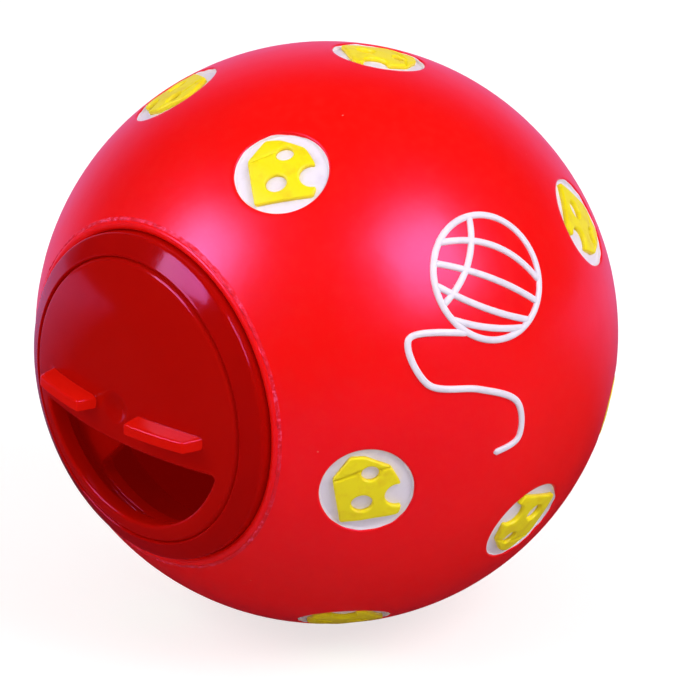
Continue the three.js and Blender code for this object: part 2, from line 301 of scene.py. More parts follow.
vinylLook = {
    "red": "FC1004",
    "deepRed": "F10E04",
    "scuff": "FA3428",
    "speck": "FF6A60",
    "sheen": "FF98FF",
    "ior": 1.53,
    "through": 0.07,  # painted glow, standing in for light that comes through the thin wall
    "clouds": (14, 3.0, 0.5, 0.2, 0.8),
    "scuffs": (1.1, 4.0, 0.7, 0.45, 0.95, 0.0, 0.3),
    "roughness": (6, 3.0, 0.5, 0.2, 0.8, 0.28, 0.34),
    "specksApartMm": 4.5,
    "speckReach": (0.03, 0.016),
    "relief": [(3.2, 2.0, 0.5, 0.03), (0.35, 2.0, 0.6, 0.004)],
}


def softVinyl():
    # Rotocast soft vinyl: even, saturated red with a satin skin. The fine grain of the mould breaks up
    # the highlights, and a few specks of dust are moulded in.
    look = vinylLook
    material, tree, shader, place = startMaterial("softVinyl", look["red"], look["ior"], look["sheen"])
    clouds = patches(tree, place, *look["clouds"])
    colour = addNode(tree, "Mix", {0: clouds, 6: look["deepRed"], 7: look["red"]}, 2, data_type="RGBA")
    cells = {"Vector": place, "Scale": 1000 / look["specksApartMm"]}
    near = addNode(tree, "TexVoronoi", cells, "Distance")
    limits = zip(rangeInputs, look["speckReach"])
    specks = addNode(tree, "MapRange", {"Value": near, **dict(limits)})
    colour = addNode(tree, "Mix", {0: specks, 6: colour, 7: look["speck"]}, 2, data_type="RGBA")
    scuffs = patches(tree, place, *look["scuffs"])
    colour = addNode(tree, "Mix", {0: scuffs, 6: colour, 7: look["scuff"]}, 2, data_type="RGBA")
    setInputs(shader, {"Base Color": colour, "Roughness": patches(tree, place, *look["roughness"])})
    # A painted glow, even all over, stands in for light that comes through the thin wall
    setInputs(shader, {"Emission Color": look["red"], "Emission Strength": look["through"]})
    addRelief(tree, shader, place, look["relief"])
    return material


lipLook = {
    "red": "F0140C",
    "flash": "FF5078",
    "roughness": 0.5,
    "torn": (0.7, 3.0, 0.7, 0.48, 0.62),
    "stretches": (9, 1.0, 0.5, 0.38, 0.6, 0.1, 1.0),
    "relief": [(0.4, 3.0, 0.6, 0.06)],
}


def trimmedVinyl():
    # The mouth's lip, where the moulding was cut: a rougher, paler edge than the skin
    look, skin = lipLook, vinylLook
    material, tree, shader, place = startMaterial("trimmedVinyl", look["red"], skin["ior"], skin["sheen"])
    torn, stretches = (patches(tree, place, *look[part]) for part in ("torn", "stretches"))
    pale = addNode(tree, "Math", {0: torn, 1: stretches}, operation="MULTIPLY")
    colour = addNode(tree, "Mix", {0: pale, 6: look["red"], 7: look["flash"]}, 2, data_type="RGBA")
    setInputs(shader, {"Base Color": colour, "Roughness": look["roughness"]})
    addRelief(tree, shader, place, look["relief"])
    return material


innerLook = {
    "red": "C80E06",
    # colour and strength of a faint painted glow
    "paintedGlowColour": "F01004",
    "through": 0.06,
    "roughness": 0.6,
    "relief": [(1.6, 3.0, 0.6, 0.05)],
}


def innerVinyl():
    # The ball's inside, dull, with a faint painted glow that stands in for light coming through the soft
    # wall
    look = innerLook
    material, tree, shader, place = startMaterial("innerVinyl", look["red"], vinylLook["ior"])
    setInputs(shader, {"Roughness": look["roughness"], "Emission Color": look["paintedGlowColour"]})
    setInputs(shader, {"Emission Strength": look["through"]})
    addRelief(tree, shader, place, look["relief"])
    return material


plasticLook = {
    "sheen": "A85CB0",
    "ior": 1.49,
    "glow": 0.3,  # share of the light that goes a little way into the plastic
    "glowMm": 1.5,
    "glowReach": (1.0, 0.1, 0.05),
    "clouds": (9, 2.0, 0.5, 0.3, 0.7),
    "roughness": (0.8, 4.0, 0.7, 0.35, 0.75, 0.08, 0.16),
    "relief": [(4.5, 1.0, 0.4, 0.03), (0.6, 2.0, 0.5, 0.003)],
    # colour, the clouds' other colour, and a painted glow standing in for light through the thin walls
    "insertPlastic": ("A60702", "9E0803", 0.16),
    "dialPlastic": ("AA0902", "AC0B04", 0.16),
    # the ribs are the dial's plastic under a strong painted glow
    "ribPaintedGlowPlastic": ("A80C04", "9C0A04", 0.85),
}


def mouldedPlastic(name):
    # Injection-moulded polypropylene: glossy and a little wavy where it flowed and shrank. Light goes a
    # little way in, and a painted glow, strongest on the ribs, lightens the thin ribs and the gaps.
    look = plasticLook
    colour, other, through = look[name]
    material, tree, shader, place = startMaterial(name, colour, look["ior"], look["sheen"])
    setInputs(shader, {"Subsurface Weight": look["glow"], "Subsurface Radius": look["glowReach"]})
    setInputs(shader, {"Subsurface Scale": look["glowMm"] / 1000})
    setInputs(shader, {"Emission Color": colour, "Emission Strength": through})
    clouds = patches(tree, place, *look["clouds"])
    mixed = addNode(tree, "Mix", {0: clouds, 6: other, 7: colour}, 2, data_type="RGBA")
    setInputs(shader, {"Base Color": mixed, "Roughness": patches(tree, place, *look["roughness"])})
    addRelief(tree, shader, place, look["relief"])
    return material


paintLook = {
    "ior": 1.5,
    "roughness": 0.45,
    "worn": (2.2, 4.0, 0.6, 0.5, 0.75, 0.0, 0.8),
    "thin": (0.9, 5.0, 0.75, 0.66, 0.8, 0.0),
    "relief": [(0.9, 3.0, 0.6, 0.03)],
    # colour, its worn colour, and how far the red shows where the paint is thin
    "whitePaint": ("F3EAFB", "E6DAEE", 0.25),
    "yellowPaint": ("FFEA00", "F2CE00", 0.1),
}


def sprayedPaint(name):
    # Masked spray paint on vinyl: flat and even, thinner in places so that the red tints it
    look = paintLook
    colour, worn, redThrough = look[name]
    material, tree, shader, place = startMaterial(name, colour, look["ior"])
    wornAway = patches(tree, place, *look["worn"])
    mixed = addNode(tree, "Mix", {0: wornAway, 6: colour, 7: worn}, 2, data_type="RGBA")
    thin = patches(tree, place, *look["thin"], redThrough)
    mixed = addNode(tree, "Mix", {0: thin, 6: mixed, 7: vinylLook["deepRed"]}, 2, data_type="RGBA")
    setInputs(shader, {"Base Color": mixed, "Roughness": look["roughness"]})
    addRelief(tree, shader, place, look["relief"])
    return material


vinyl, lipVinyl, wallVinyl = softVinyl(), trimmedVinyl(), innerVinyl()
insertPlastic, dialPlastic, ribPaintedGlowPlastic = map(mouldedPlastic, ("insertPlastic", "dialPlastic", "ribPaintedGlowPlastic"))
whitePaint, yellowPaint = map(sprayedPaint, ("whitePaint", "yellowPaint"))
print("materials made")


# Places on the ball

badges = {
    "radius": 5.6,
    "depth": 0.6,
    "rimRound": 0.24,
    "floorRound": 0.2,
    "skirt": 0.35,  # the bare surface's ring round the rim
    "lean": 0.05,  # how far the wall leans in, over leanDepth
    "leanDepth": 0.12,
    "steps": 96,
    "margin": 1.2,  # where the evenly spread points begin, on the floor and outside
    "floorGrid": 0.9,
    # angle from the lip, angle round the mouth's axis, and the drawing's turn
    "places": [
        (22.5, 68.9, -32),
        (64.5, 86.9, -119),
        (83.4, 33.3, -123),
        (17.6, -12.8, 18),
        (57.1, -27.2, 162),
        (34.5, -64, 150),
        (93.8, -18.5, 61),
    ],
}

lipRadius = ball["mouthRadius"] + ball["lipWidth"]


def placeOnBall(place, half):
    # Right, up and out of a drawing's place, on the first or second half of the mould
    polar = math.asin(lipRadius / ball["radius"]) + math.radians(place[0])
    around = math.radians(place[1])
    out = Vector((math.sin(polar) * math.cos(around), -math.cos(polar), math.sin(polar) * math.sin(around)))
    up = Vector((-math.sin(around), 0, math.cos(around)))
    up.rotate(Matrix.Rotation(math.radians(place[2]), 3, out))
    right = up.cross(out)
    turn = Matrix.Rotation(math.pi * half, 3, "Y")
    return np.array([tuple(turn @ axis) for axis in (right, up, out)])


def onSurface(flat, frameOfPlace):
    # Directions out of the ball for points measured along its surface from a place
    away = np.hypot(flat[:, 0], flat[:, 1])
    angle = away / ball["radius"]
    across = np.where(away > 1e-9, np.sin(angle) / np.maximum(away, 1e-9), 0)
    local = np.stack([flat[:, 0] * across, flat[:, 1] * across, np.cos(angle)], 1)
    return local @ frameOfPlace


badgeFrames = [placeOnBall(place, half) for half in (0, 1) for place in badges["places"]]


# Ball


def badgeRings():
    # (distance from the badge's middle, depth) from the bare surface down to the floor
    r, rim, foot, depth = (badges[k] for k in ("radius", "rimRound", "floorRound", "depth"))
    rings = [(r + rim + badges["skirt"], 0.0)]
    for t in np.radians([0, 20, 40, 62, 90]):
        rings.append((r + rim - rim * math.sin(t), rim - rim * math.cos(t)))
    for t in np.radians([0, 30, 60, 90]):
        rings.append((r - badges["lean"] - foot + foot * math.cos(t), depth - foot + foot * math.sin(t)))
    rings.append((r - badges["margin"] / 2, depth))
    return rings


def spreadOverBall(spacing):
    # Evenly spread directions on a spiral
    count = int(4 * math.pi * ball["radius"] ** 2 / (rowSpacing * spacing**2))
    i = np.arange(count) + 0.5
    height = 1 - 2 * i / count
    around = math.pi * (1 + 5**0.5) * i
    flat = np.sqrt(1 - height**2)
    return np.stack([flat * np.cos(around), height, flat * np.sin(around)], 1)


def lipProfile():
    # From the bare surface over the rolled lip, down the mouth and round the flange
    radius, mouth, c = ball["radius"], ball["mouthRadius"], ball["chamfer"]
    roll = ball["lipWidth"] / 2
    edge = sphereHeight(radius, lipRadius)
    middle = edge + ball["lipProud"] - roll
    front = edge - ball["flangeDepth"]
    back = front - ball["flangeThickness"]
    flange = mouth - ball["flangeStep"]
    profile = []
    for away, high in ball["flashSection"]:
        r = lipRadius + away * ball["flashWidth"]
        profile.append((r, sphereHeight(radius, r) + high * ball["flash"]))
    for t in np.radians(ball["rollAngles"]):
        lean = ball["lipHug"] * (1 - math.cos(t)) / 2
        profile.append((lipRadius - roll + roll * math.cos(t) - lean, middle + roll * math.sin(t)))
    profile += [(mouth, front + ball["mouthChamfer"]), (mouth - c, front), (flange + c, front)]
    profile += [(flange, front - c), (flange, back + c), (flange + c, back)]
    inner = radius - ball["wall"]
    profile.append((math.sqrt(inner**2 - back**2) - 0.2, back))
    for t in np.linspace(math.asin(back / inner), -math.pi / 2, ball["innerRows"], endpoint=False):
        profile.append((inner * math.cos(t), inner * math.sin(t)))
    return profile


def outerSkin():
    # The ball's surface outside the lip, badges sunk in it: its points, triangles and innermost ring
    radius, steps = ball["radius"], ball["roundSteps"]
    mouthEdge = math.asin((lipRadius + ball["lipMargin"]) / radius)
    around = 2 * np.pi * np.arange(steps) / steps
    parts = []  # directions, depth, and whether they make a loop
    for angle in (mouthEdge, mouthEdge + ball["lipRings"] / radius):
        flat = math.sin(angle)
        high = np.full(steps, -math.cos(angle))
        parts.append((np.stack([flat * np.cos(around), high, flat * np.sin(around)], 1), 0.0, True))
    for frameOfPlace in badgeFrames:
        for distance, depth in badgeRings():
            parts.append((onSurface(ring(distance, badges["steps"]), frameOfPlace), depth, True))
        floor = hexPoints(badges["radius"] - badges["margin"], badges["floorGrid"])
        parts.append((onSurface(floor, frameOfPlace), badges["depth"], False))
    bare = spreadOverBall(ball["grid"])
    clear = -bare[:, 1] < math.cos(mouthEdge + ball["bareMargin"] / radius)
    for frameOfPlace in badgeFrames:
        clear &= bare @ frameOfPlace[2] < math.cos((badges["radius"] + badges["margin"]) / radius)
    parts.append((bare[clear], 0.0, False))
    directions = np.concatenate([made for made, depth, isLoop in parts])
    depths = np.concatenate([np.full(len(made), depth) for made, depth, isLoop in parts])
    lines = numbered([made for made, depth, isLoop in parts])

    # Seen from the mouth's own point of the sphere, the rest of it lies flat in one piece
    flat = directions[:, [0, 2]] / (1 + directions[:, 1:2])
    laid, triangles, number = fillPlane(flat, [line for line, part in zip(lines, parts) if part[2]])
    squares = (laid**2).sum(axis=1)
    backwards = np.stack([2 * laid[:, 0], 1 - squares, 2 * laid[:, 1]], 1) / (squares + 1)[:, None]
    depthOf = np.zeros(len(laid))
    for old, new in number.items():
        depthOf[new] = depths[old]
    points = backwards * (radius - depthOf)[:, None]
    return points, [tuple(t) for t in triangles], [number[i] for i in range(steps)]


def tearFlash(rows, steps):
    # The line where the mould was trimmed runs ragged round the lip
    around = 2 * np.pi * np.arange(steps) / steps
    rng = np.random.RandomState(4)
    ragged = sum(
        rng.uniform(0.4, 1) * np.sin(k * around + rng.uniform(0, 6.3)) for k in ball["flashWaves"]
    )
    for row in range(1, len(ball["flashSection"]) - 1):
        part = rows[row * steps : (row + 1) * steps]
        part[:, 1] -= ball["flash"] * np.clip(ball["flashTorn"] * ragged, -0.8, 1.2)
        part[:, [0, 2]] *= (1 + ball["flashWander"] * ragged)[:, None]


def makeBall():
    steps = ball["roundSteps"]
    skin, faces, mouthRing = outerSkin()
    profile = lipProfile()
    rows = turnedRows(profile, steps)
    tearFlash(rows, steps)
    rings = [mouthRing] + rowNumbers(len(skin), len(profile), steps)
    pole = len(skin) + len(rows)
    # Materials 0, 1 and 2 are the skin, the trimmed lip and the inside
    flashRows = len(ball["flashSection"])
    lipRows = flashRows + len(ball["rollAngles"])
    faceMaterials = [0] * len(faces)
    for row in range(len(profile)):
        faceMaterials += [1 if 0 < row < flashRows else 0 if row < lipRows else 2] * steps
    faceMaterials += [2] * steps
    faces += ladder(rings)
    faces += [(rings[-1][i], rings[-1][(i + 1) % steps], pole) for i in range(steps)]
    points = np.concatenate([skin, rows, [[0, ball["radius"] - ball["wall"], 0]]])
    vinyls = [vinyl, lipVinyl, wallVinyl]
    return makePiece("vinyl_ball", points, faces, vinyls, "ball", faceMaterials)


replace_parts(makeBall(), "ball_shell")
print("ball made")


# White paint in the badges

spray = {
    "thickness": 0.03,  # how high its face and its underside lie over the vinyl
    "underside": 0.009,
    "edgeDepth": 0.18,
    "fray": 0.035,  # how much the painted edge wanders up and down
    "missed": 0.2,  # how much lower it starts where the spray missed the wall
    "missedEase": 0.35,
    "edgeLimits": (0.1, 0.38),
    "frayWaves": (5, 9, 17),
    "wallEnd": 0.4,
    "wallShares": (0, 0.4, 0.75, 1),  # of the way from the painted edge to the wall's end
    "floorShares": (0.85, 0.6, 0.35, 0.15),  # of the badge's radius
}


def recessRadius(depth):
    # How far out the recess's wall lies at a depth
    r, rim = badges["radius"], badges["rimRound"]
    if depth < rim:
        return r + rim - math.sqrt(max(rim**2 - (rim - depth) ** 2, 0))
    return r - badges["lean"] * min((depth - rim) / badges["leanDepth"], 1)


def makeGrounds():
    steps, foot, floor = badges["steps"], badges["floorRound"], badges["depth"]
    rng = np.random.RandomState(11)
    around = 2 * np.pi * np.arange(steps) / steps
    angles = np.stack([np.cos(around), np.sin(around)], 1)
    points, faces = [], []
    total = 0
    for frameOfPlace in badgeFrames:
        # Where the spray missed the wall, the paint starts lower and the red shows
        middle, reach = rng.uniform(0, 6.3), rng.uniform(0.5, 1.0)
        gap = np.abs((around - middle + np.pi) % (2 * np.pi) - np.pi)
        missed = np.clip((reach - gap) / spray["missedEase"], 0, 1)
        fray = sum(
            rng.uniform(0.4, 1) * np.sin(k * around + rng.uniform(0, 6.3)) for k in spray["frayWaves"]
        )
        top = spray["edgeDepth"] + spray["fray"] * fray + spray["missed"] * missed
        top = np.clip(top, *spray["edgeLimits"])
        rings = []
        for share in spray["wallShares"]:
            depth = top + (spray["wallEnd"] - top) * share
            rings.append((np.array([recessRadius(d) for d in depth]), depth))
        for t in np.radians([30, 60, 90]):
            wide = badges["radius"] - badges["lean"] - foot + foot * math.cos(t)
            rings.append((np.full(steps, wide), np.full(steps, floor - foot + foot * math.sin(t))))
        for share in spray["floorShares"]:
            rings.append((np.full(steps, badges["radius"] * share), np.full(steps, floor)))
        for lift in (spray["thickness"], spray["underside"]):
            for wide, depth in rings:
                outs = onSurface(angles * (wide - lift)[:, None], frameOfPlace)
                points.append(outs * (ball["radius"] - depth + lift)[:, None])
        numbers = rowNumbers(total, 2 * len(rings), steps)
        upper, under = numbers[: len(rings)], numbers[len(rings) :]
        faces += ladder(upper)
        faces += [face for a, b in zip(under, under[1:]) for face in stripFaces(b, a)]
        faces += stripFaces(under[0], upper[0])
        total += 2 * len(rings) * steps
        for lift, last, back in ((spray["thickness"], upper[-1], 1), (spray["underside"], under[-1], -1)):
            points.append(frameOfPlace[2:3] * (ball["radius"] - floor + lift))
            faces += [(last[i], last[(i + 1) % steps], total)[::back] for i in range(steps)]
            total += 1
    return makePiece("badge_grounds", np.concatenate(points), faces, [whitePaint], "ball")


makeGrounds()
print("badge grounds made")


# Cheese wedges, drawn in badge radii

wedge = {
    "corners": [
        (-0.68, -0.66),
        (-0.66, 0.44),
        (-0.21, 0.88),
        (0.1, 0.82),
        (0.59, 0.48),
        (0.72, 0.08),
    ],
    "bite": (0.61, -0.25, 0.27),
    "biteAngles": (66, 276, 12),
    "tail": [(0.65, -0.57), (0.56, -0.74)],
    "holes": [(0.14, 0.42, 0.19, 0.165), (-0.15, -0.26, 0.225, 0.2)],
    "groove": [[(-0.67, 0.4), (-0.34, 0.46), (-0.03, 0.52)], [(0.31, 0.46), (0.6, 0.46)]],
    # from here on in millimetres
    "cornerRound": 0.36,
    "topRound": 0.24,
    "edgeRings": [0, 0.04, 0.1, 0.18],
    "topRing": 0.18,  # a last ring this far inside the rounded edge
    "pointStep": 0.2,
    "grooveDepth": 0.34,
    "grooveWidth": 0.36,
    "grooveStep": 0.15,
    "grooveMargin": 0.06,  # how far a groove's points keep from the edges
    "holeSteps": 24,
    "grid": 0.32,
    "gridMargin": 0.3,
    "gridOffGroove": 0.1,
    "proud": 0.03,
    "uneven": 0.03,
    "unevenWaves": (1.9, 1.6),
    "footLift": 0.003,  # the underside's height over the badge's floor
}


def roundedOutline(corners, reach, step):
    # A closed outline whose corners are eased over a reach, in even steps
    made = []
    count = len(corners)
    for i in range(count):
        before, here, after = corners[i - 1], corners[i], corners[(i + 1) % count]
        easeIn = min(reach, 0.49 * np.linalg.norm(here - before))
        easeOut = min(reach, 0.49 * np.linalg.norm(after - here))
        start = here + (before - here) / np.linalg.norm(before - here) * easeIn
        end = here + (after - here) / np.linalg.norm(after - here) * easeOut
        for t in np.linspace(0, 1, 7):
            made.append((1 - t) ** 2 * start + 2 * t * (1 - t) * here + t * t * end)
    return evenly(np.array(made), step, True)


def shrunk(outline, distance):
    # The outline moved into its own area; it may run either way round
    x, y = outline.T
    area = 0.5 * np.sum(x * np.roll(y, -1) - np.roll(x, -1) * y)
    along = np.roll(outline, -1, axis=0) - np.roll(outline, 1, axis=0)
    along /= np.linalg.norm(along, axis=1)[:, None]
    return outline + np.stack([-along[:, 1], along[:, 0]], 1) * distance * np.sign(area)


def withinLoops(triangles, laid, outer, holes):
    # Triangles beyond the outline or in a hole have all their corners on that one loop, and the
    # corners' order along it tells on which side they lie, also for slivers
    keep = []
    for loop, wanted in [(outer, True)] + [(hole, False) for hole in holes]:
        place = {point: i for i, point in enumerate(loop)}
        x, y = laid[loop].T
        turnsLeft = (x * np.roll(y, -1) - y * np.roll(x, -1)).sum() > 0
        keep.append([])
        for triangle in triangles.tolist():
            a, b, c = (place.get(point) for point in triangle)
            if None in (a, b, c):
                keep[-1].append(True)
            else:
                forwards = (a < b) + (b < c) + (c < a) == 2
                keep[-1].append((forwards == turnsLeft) == wanted)
    return triangles[np.all(keep, axis=0)]


def wedgeOutlines():
    scale = badges["radius"]
    bx, by, br = wedge["bite"]
    angles = np.radians(np.linspace(*wedge["biteAngles"]))
    bite = [(bx + br * math.cos(t), by + br * math.sin(t)) for t in angles]
    corners = np.array(wedge["corners"] + bite + wedge["tail"]) * scale
    outline = roundedOutline(corners, wedge["cornerRound"], wedge["pointStep"])
    holes = []
    for x, y, wide, tall in wedge["holes"]:
        steps = max(int(2 * math.pi * wide * scale / wedge["pointStep"]), wedge["holeSteps"])
        holes.append(np.array([x, y]) * scale + ring(scale, steps) * np.array([wide, tall]))
    return outline, holes


def wedgeFall(laid, outline, holes, grooves):
    # How far the top lies below its highest level: at rounded edges, in grooves, and a little all over,
    # uneven as hand-cut moulds are
    fall = easedEdge(distanceTo(laid, outline), wedge["topRound"])
    for hole in holes:
        fall = np.maximum(fall, easedEdge(distanceTo(laid, hole), wedge["topRound"]))
    for line in grooves:
        share = np.clip(1 - distanceTo(laid, line, False) / (wedge["grooveWidth"] / 2), 0, 1)
        fall = np.maximum(fall, wedge["grooveDepth"] * share * share * (3 - 2 * share))
    across, up = wedge["unevenWaves"]
    waves = np.sin(laid[:, 0] * across + 1) * np.cos(laid[:, 1] * up)
    return fall + (wedge["uneven"] * waves + wedge["uneven"])


def makeWedges():
    scale, rounding = badges["radius"], wedge["topRound"]
    outline, holes = wedgeOutlines()
    inwards = wedge["edgeRings"] + [rounding, rounding + wedge["topRing"]]
    lines = []
    for line, sign in [(outline, 1)] + [(hole, -1) for hole in holes]:
        lines += [shrunk(line, sign * distance) if distance else line for distance in inwards]
    loops = numbered(lines)

    def clear(points, margin):
        far = inside(points, outline) & (distanceTo(points, outline) > margin)
        for hole in holes:
            far &= ~inside(points, hole) & (distanceTo(points, hole) > margin)
        return points[far]

    grooves = []
    for line in wedge["groove"]:
        line = np.array(line) * scale
        length = lengthAlong(line)[-1]
        grooves.append(pointsAt(line, np.linspace(0, length, int(length / wedge["grooveStep"]))))
        for side in (-1, 0, 1):
            beside = grooves[-1] + np.array([0.05, 1]) * side * wedge["grooveWidth"] / 2
            lines.append(clear(beside, wedge["grooveMargin"]))
    grid = clear(hexPoints(scale, wedge["grid"]), rounding + wedge["gridMargin"])
    for line in grooves:
        apart = wedge["grooveWidth"] / 2 + wedge["gridOffGroove"]
        grid = grid[distanceTo(grid, line, False) > apart]
    laid, triangles, number = fillPlane(np.concatenate(lines + [grid]), loops)
    edges = [[number[i] for i in loops[start]] for start in range(0, len(loops), len(inwards))]
    triangles = withinLoops(triangles, laid, edges[0], edges[1:])

    used, faces, walls = keepUsed(triangles, edges)
    fall = wedgeFall(laid, outline, holes, grooves)[used]
    underLoops = numbered(walls)
    under, underTriangles, number = fillPlane(np.concatenate([laid[used][w] for w in walls]), underLoops)
    feet = [[number[i] for i in loop] for loop in underLoops]
    offset = len(used)
    for triangle in withinLoops(underTriangles, under, feet[0], feet[1:]).tolist():
        faces.append(tuple(offset + i for i in triangle[::-1]))
    for wall, edge in zip(walls, feet):
        faces += stripFaces([offset + i for i in edge], wall)
    flat = np.concatenate([laid[used], under])
    foot = badges["depth"] - wedge["footLift"]
    depth = np.concatenate([fall - wedge["proud"], np.full(len(under), foot)])
    points, allFaces = [], []
    for count, frameOfPlace in enumerate(badgeFrames):
        points.append(onSurface(flat, frameOfPlace) * (ball["radius"] - depth)[:, None])
        allFaces += [tuple(count * len(flat) + i for i in face) for face in faces]
    points = np.concatenate(points)
    return makePiece("cheese_wedges", points, allFaces, [yellowPaint], "ball")


makeWedges()
print("wedges made")


# Ball of wool in raised painted lines

wool = {
    "place": (47.6, 28.6, -34),
    "radius": 7.4,
    "lineWidth": 0.82,
    "lineProud": 0.33,
    "sunk": 0.25,
    "step": 0.3,
    # from and to are angles on the rim, then how far the line bows, in wool radii
    "windings": [
        (165, 15, 0.5),
        (185, -5, 0.12),
        (205, -25, -0.2),
        (120, 225, 0.35),
        (-35, -120, 0.15),
    ],
    # the first point is on the rim at -100 degrees
    "looseEnd": [
        (-0.1736, -0.9848),
        (-1.1, -1.35),
        (-0.55, -1.95),
        (0.35, -1.75),
        (1.15, -1.7),
        (1.5, -2.2),
        (1.15, -2.6),
    ],
}


def smoothThrough(corners):
    # A smooth line through a few points
    padded = [corners[0]] + list(corners) + [corners[-1]]
    made = []
    for a, b, c, d in zip(padded, padded[1:], padded[2:], padded[3:]):
        for t in np.linspace(0, 1, 24, endpoint=False):
            bend = 2 * a - 5 * b + 4 * c - d
            twist = 3 * b - a - 3 * c + d
            made.append(0.5 * (2 * b + (c - a) * t + bend * t**2 + twist * t**3))
    made.append(padded[-1])
    return np.array(made)


def woolLines():
    radius, step = wool["radius"], wool["step"]
    lines = [(evenly(ring(radius, 240), step, True), True)]
    for start, end, bow in wool["windings"]:
        angles = np.radians([start, end])
        a, b = radius * np.stack([np.cos(angles), np.sin(angles)], 1)
        across = np.array([a[1] - b[1], b[0] - a[0]]) / np.linalg.norm(b - a)
        control = (a + b) / 2 + across * bow * radius
        t = np.linspace(0, 1, 60)[:, None]
        lines.append((evenly((1 - t) ** 2 * a + 2 * t * (1 - t) * control + t * t * b, step), False))
    looseEnd = smoothThrough([np.array(p) * radius for p in wool["looseEnd"]])
    lines.append((evenly(looseEnd, step), False))
    return lines


def makeWool():
    # Each line is a low rounded bead whose foot is sunk in the ball
    half, proud, sunk = wool["lineWidth"] / 2, wool["lineProud"], wool["sunk"]
    section = [(half * math.cos(t), proud * math.sin(t) ** 0.8) for t in np.radians(np.linspace(0, 180, 9))]
    section += [(-half * 0.8, -sunk), (half * 0.8, -sunk)]
    wide = len(section)
    points, faces, total = [], [], 0
    for line, closed in woolLines():
        for side in (0, 1):
            outs = onSurface(line, placeOnBall(wool["place"], side))
            after = np.roll(outs, -1, axis=0) if closed else np.concatenate([outs[1:], outs[-1:]])
            before = np.roll(outs, 1, axis=0) if closed else np.concatenate([outs[:1], outs[:-1]])
            across = np.cross(after - before, outs)
            across /= np.linalg.norm(across, axis=1)[:, None]
            ease = np.ones(len(outs))
            if not closed:
                ends = np.minimum(np.arange(len(outs)), np.arange(len(outs))[::-1]) * wool["step"]
                ease = np.sqrt(np.clip(1 - (1 - np.clip(ends / half, 0, 1)) ** 2, 0.04, 1))
            rows = []
            for x, lift in section:
                high = ball["radius"] + (lift * ease if lift > 0 else lift)
                rows.append(outs * np.reshape(high, (-1, 1)) + across * (x * ease)[:, None])
            points.append(np.stack(rows, 1).reshape(-1, 3))
            sections = rowNumbers(total, len(outs), wide)
            faces += ladder(sections + sections[:1] if closed else sections)
            if not closed:
                faces += [tuple(sections[0]), tuple(sections[-1][::-1])]
            total += len(outs) * wide
    return makePiece("wool_lines", np.concatenate(points), faces, [whitePaint], "ball")


makeWool()
print("wool lines made")


# Insert and dial share the sizes of the mouth and the dome

insert = {
    "fitGap": 0.3,
    "bezelWidth": 2.5,
    "bezelProud": 0.5,
    "bezelShoulder": 0.5,
    "innerEdge": 0.26,
    "barbGrip": 0.9,
    "barbFace": 0.7,
    "barbTaper": 1.9,
    "chamfer": 0.12,
    "barbChamfer": 0.1,
    "backChamfer": 0.15,
    "plateThickness": 1.8,
    "plateDepth": 1.9,
    "plateEdge": 2.7,
    "plateLedge": 0.75,
    "plateCorner": 1.0,
    "plateRound": 0.24,
    "plateRings": [0, 0.06, 0.14, 0.24],
    "plateSeam": 0.3,  # a flat ring along the pocket's wall
    "windowStep": 0.35,
    "boreSteps": 60,
    "bossRim": 1.0,
    "wallFrom": 0.4,  # height over the plate of the pocket wall's first ring
    "innerEdgeAngles": [0, 25, 50, 72],
    "innerEdgeRise": 0.08,
    "bezelRings": 8,
    "shoulderRings": 9,
    "turn": -40,
    "roundSteps": 240,
}

dial = {
    "gap": 0.12,
    "sink": 0.8,
    "thickness": 2.2,
    "border": 2.2,
    "windowEdge": 4.5,
    "windowCorner": 0.4,
    "windowStep": 0.25,
    "edgeRound": 0.5,
    "underRound": 0.13,
    "edgeRings": [0, 0.04, 0.1, 0.18, 0.28, 0.39, 0.5, 0.75],
    "dimpleRadius": 2.1,
    "dimpleDepth": 0.75,
    "dimpleRings": [0.3, 0.6, 0.9, 1.2, 1.5, 1.8, 2.1, 2.4],
    "dimpleSteps": 40,
    "turn": 3,
    "roundSteps": 240,
}

rib = {
    "near": 3.4,
    "far": 13.0,
    "height": 2.6,
    "width": 1.65,
    "slant": 0.5,
    "drop": 0.6,  # how far below the dial's middle the ribs lie
    "paintedGlowFrom": 0.04,  # height from which a face takes the ribs' copy of the plastic, with its strong painted glow
    "corner": 0.45,
    "step": 0.22,
    # distance outside the rib's foot line, and the height of the surface there
    "section": [
        (0.07, 0.0),
        (0.02, 0.01),
        (0.0, 0.05),
        (-0.005, 0.25),
        (-0.06, 2.22),
        (-0.08, 2.34),
        (-0.13, 2.45),
        (-0.21, 2.54),
        (-0.31, 2.58),
        (-0.43, 2.59),
    ],
}

stud = {
    "radius": 2.3,
    "shoulder": 1.3,
    "gap": 0.3,
    "catch": 0.75,
    "land": 0.5,
    "taper": 1.8,
    "tip": 0.9,
    "slit": 0.9,
    "slitFrom": 0.5,  # depth behind the seat at which the slit begins
    "root": 0.2,  # how far the hub reaches into the dial
    "catchEdge": 0.08,
    "roundSteps": 72,
}

sheet = {
    "grid": 0.7,  # spacing of the points on the flat faces
    "margin": 0.35,  # their distance from an edge
    "ribMargin": 0.3,  # and from a rib or the dimple
}

rimRadius = ball["mouthRadius"] - insert["fitGap"]
pocketRadius = rimRadius - insert["bezelWidth"]
bezelSphere = ball["radius"] + insert["bezelProud"]
dialRadius = pocketRadius - dial["gap"]
dialCrown = ball["radius"] - dial["sink"]
dialRise = dialCrown - sphereHeight(bezelSphere, pocketRadius)
domeRadius = (dialRadius**2 + dialRise**2) / (2 * dialRise)
plateFront = dial["thickness"] + insert["plateDepth"]
plateBack = plateFront + insert["plateThickness"]
boreRadius = stud["radius"] + stud["gap"]
hubRadius = stud["radius"] + stud["shoulder"]


def domeHeight(radius, depth=0.0):
    return dialCrown - depth - domeRadius + np.sqrt(domeRadius**2 - np.asarray(radius) ** 2)


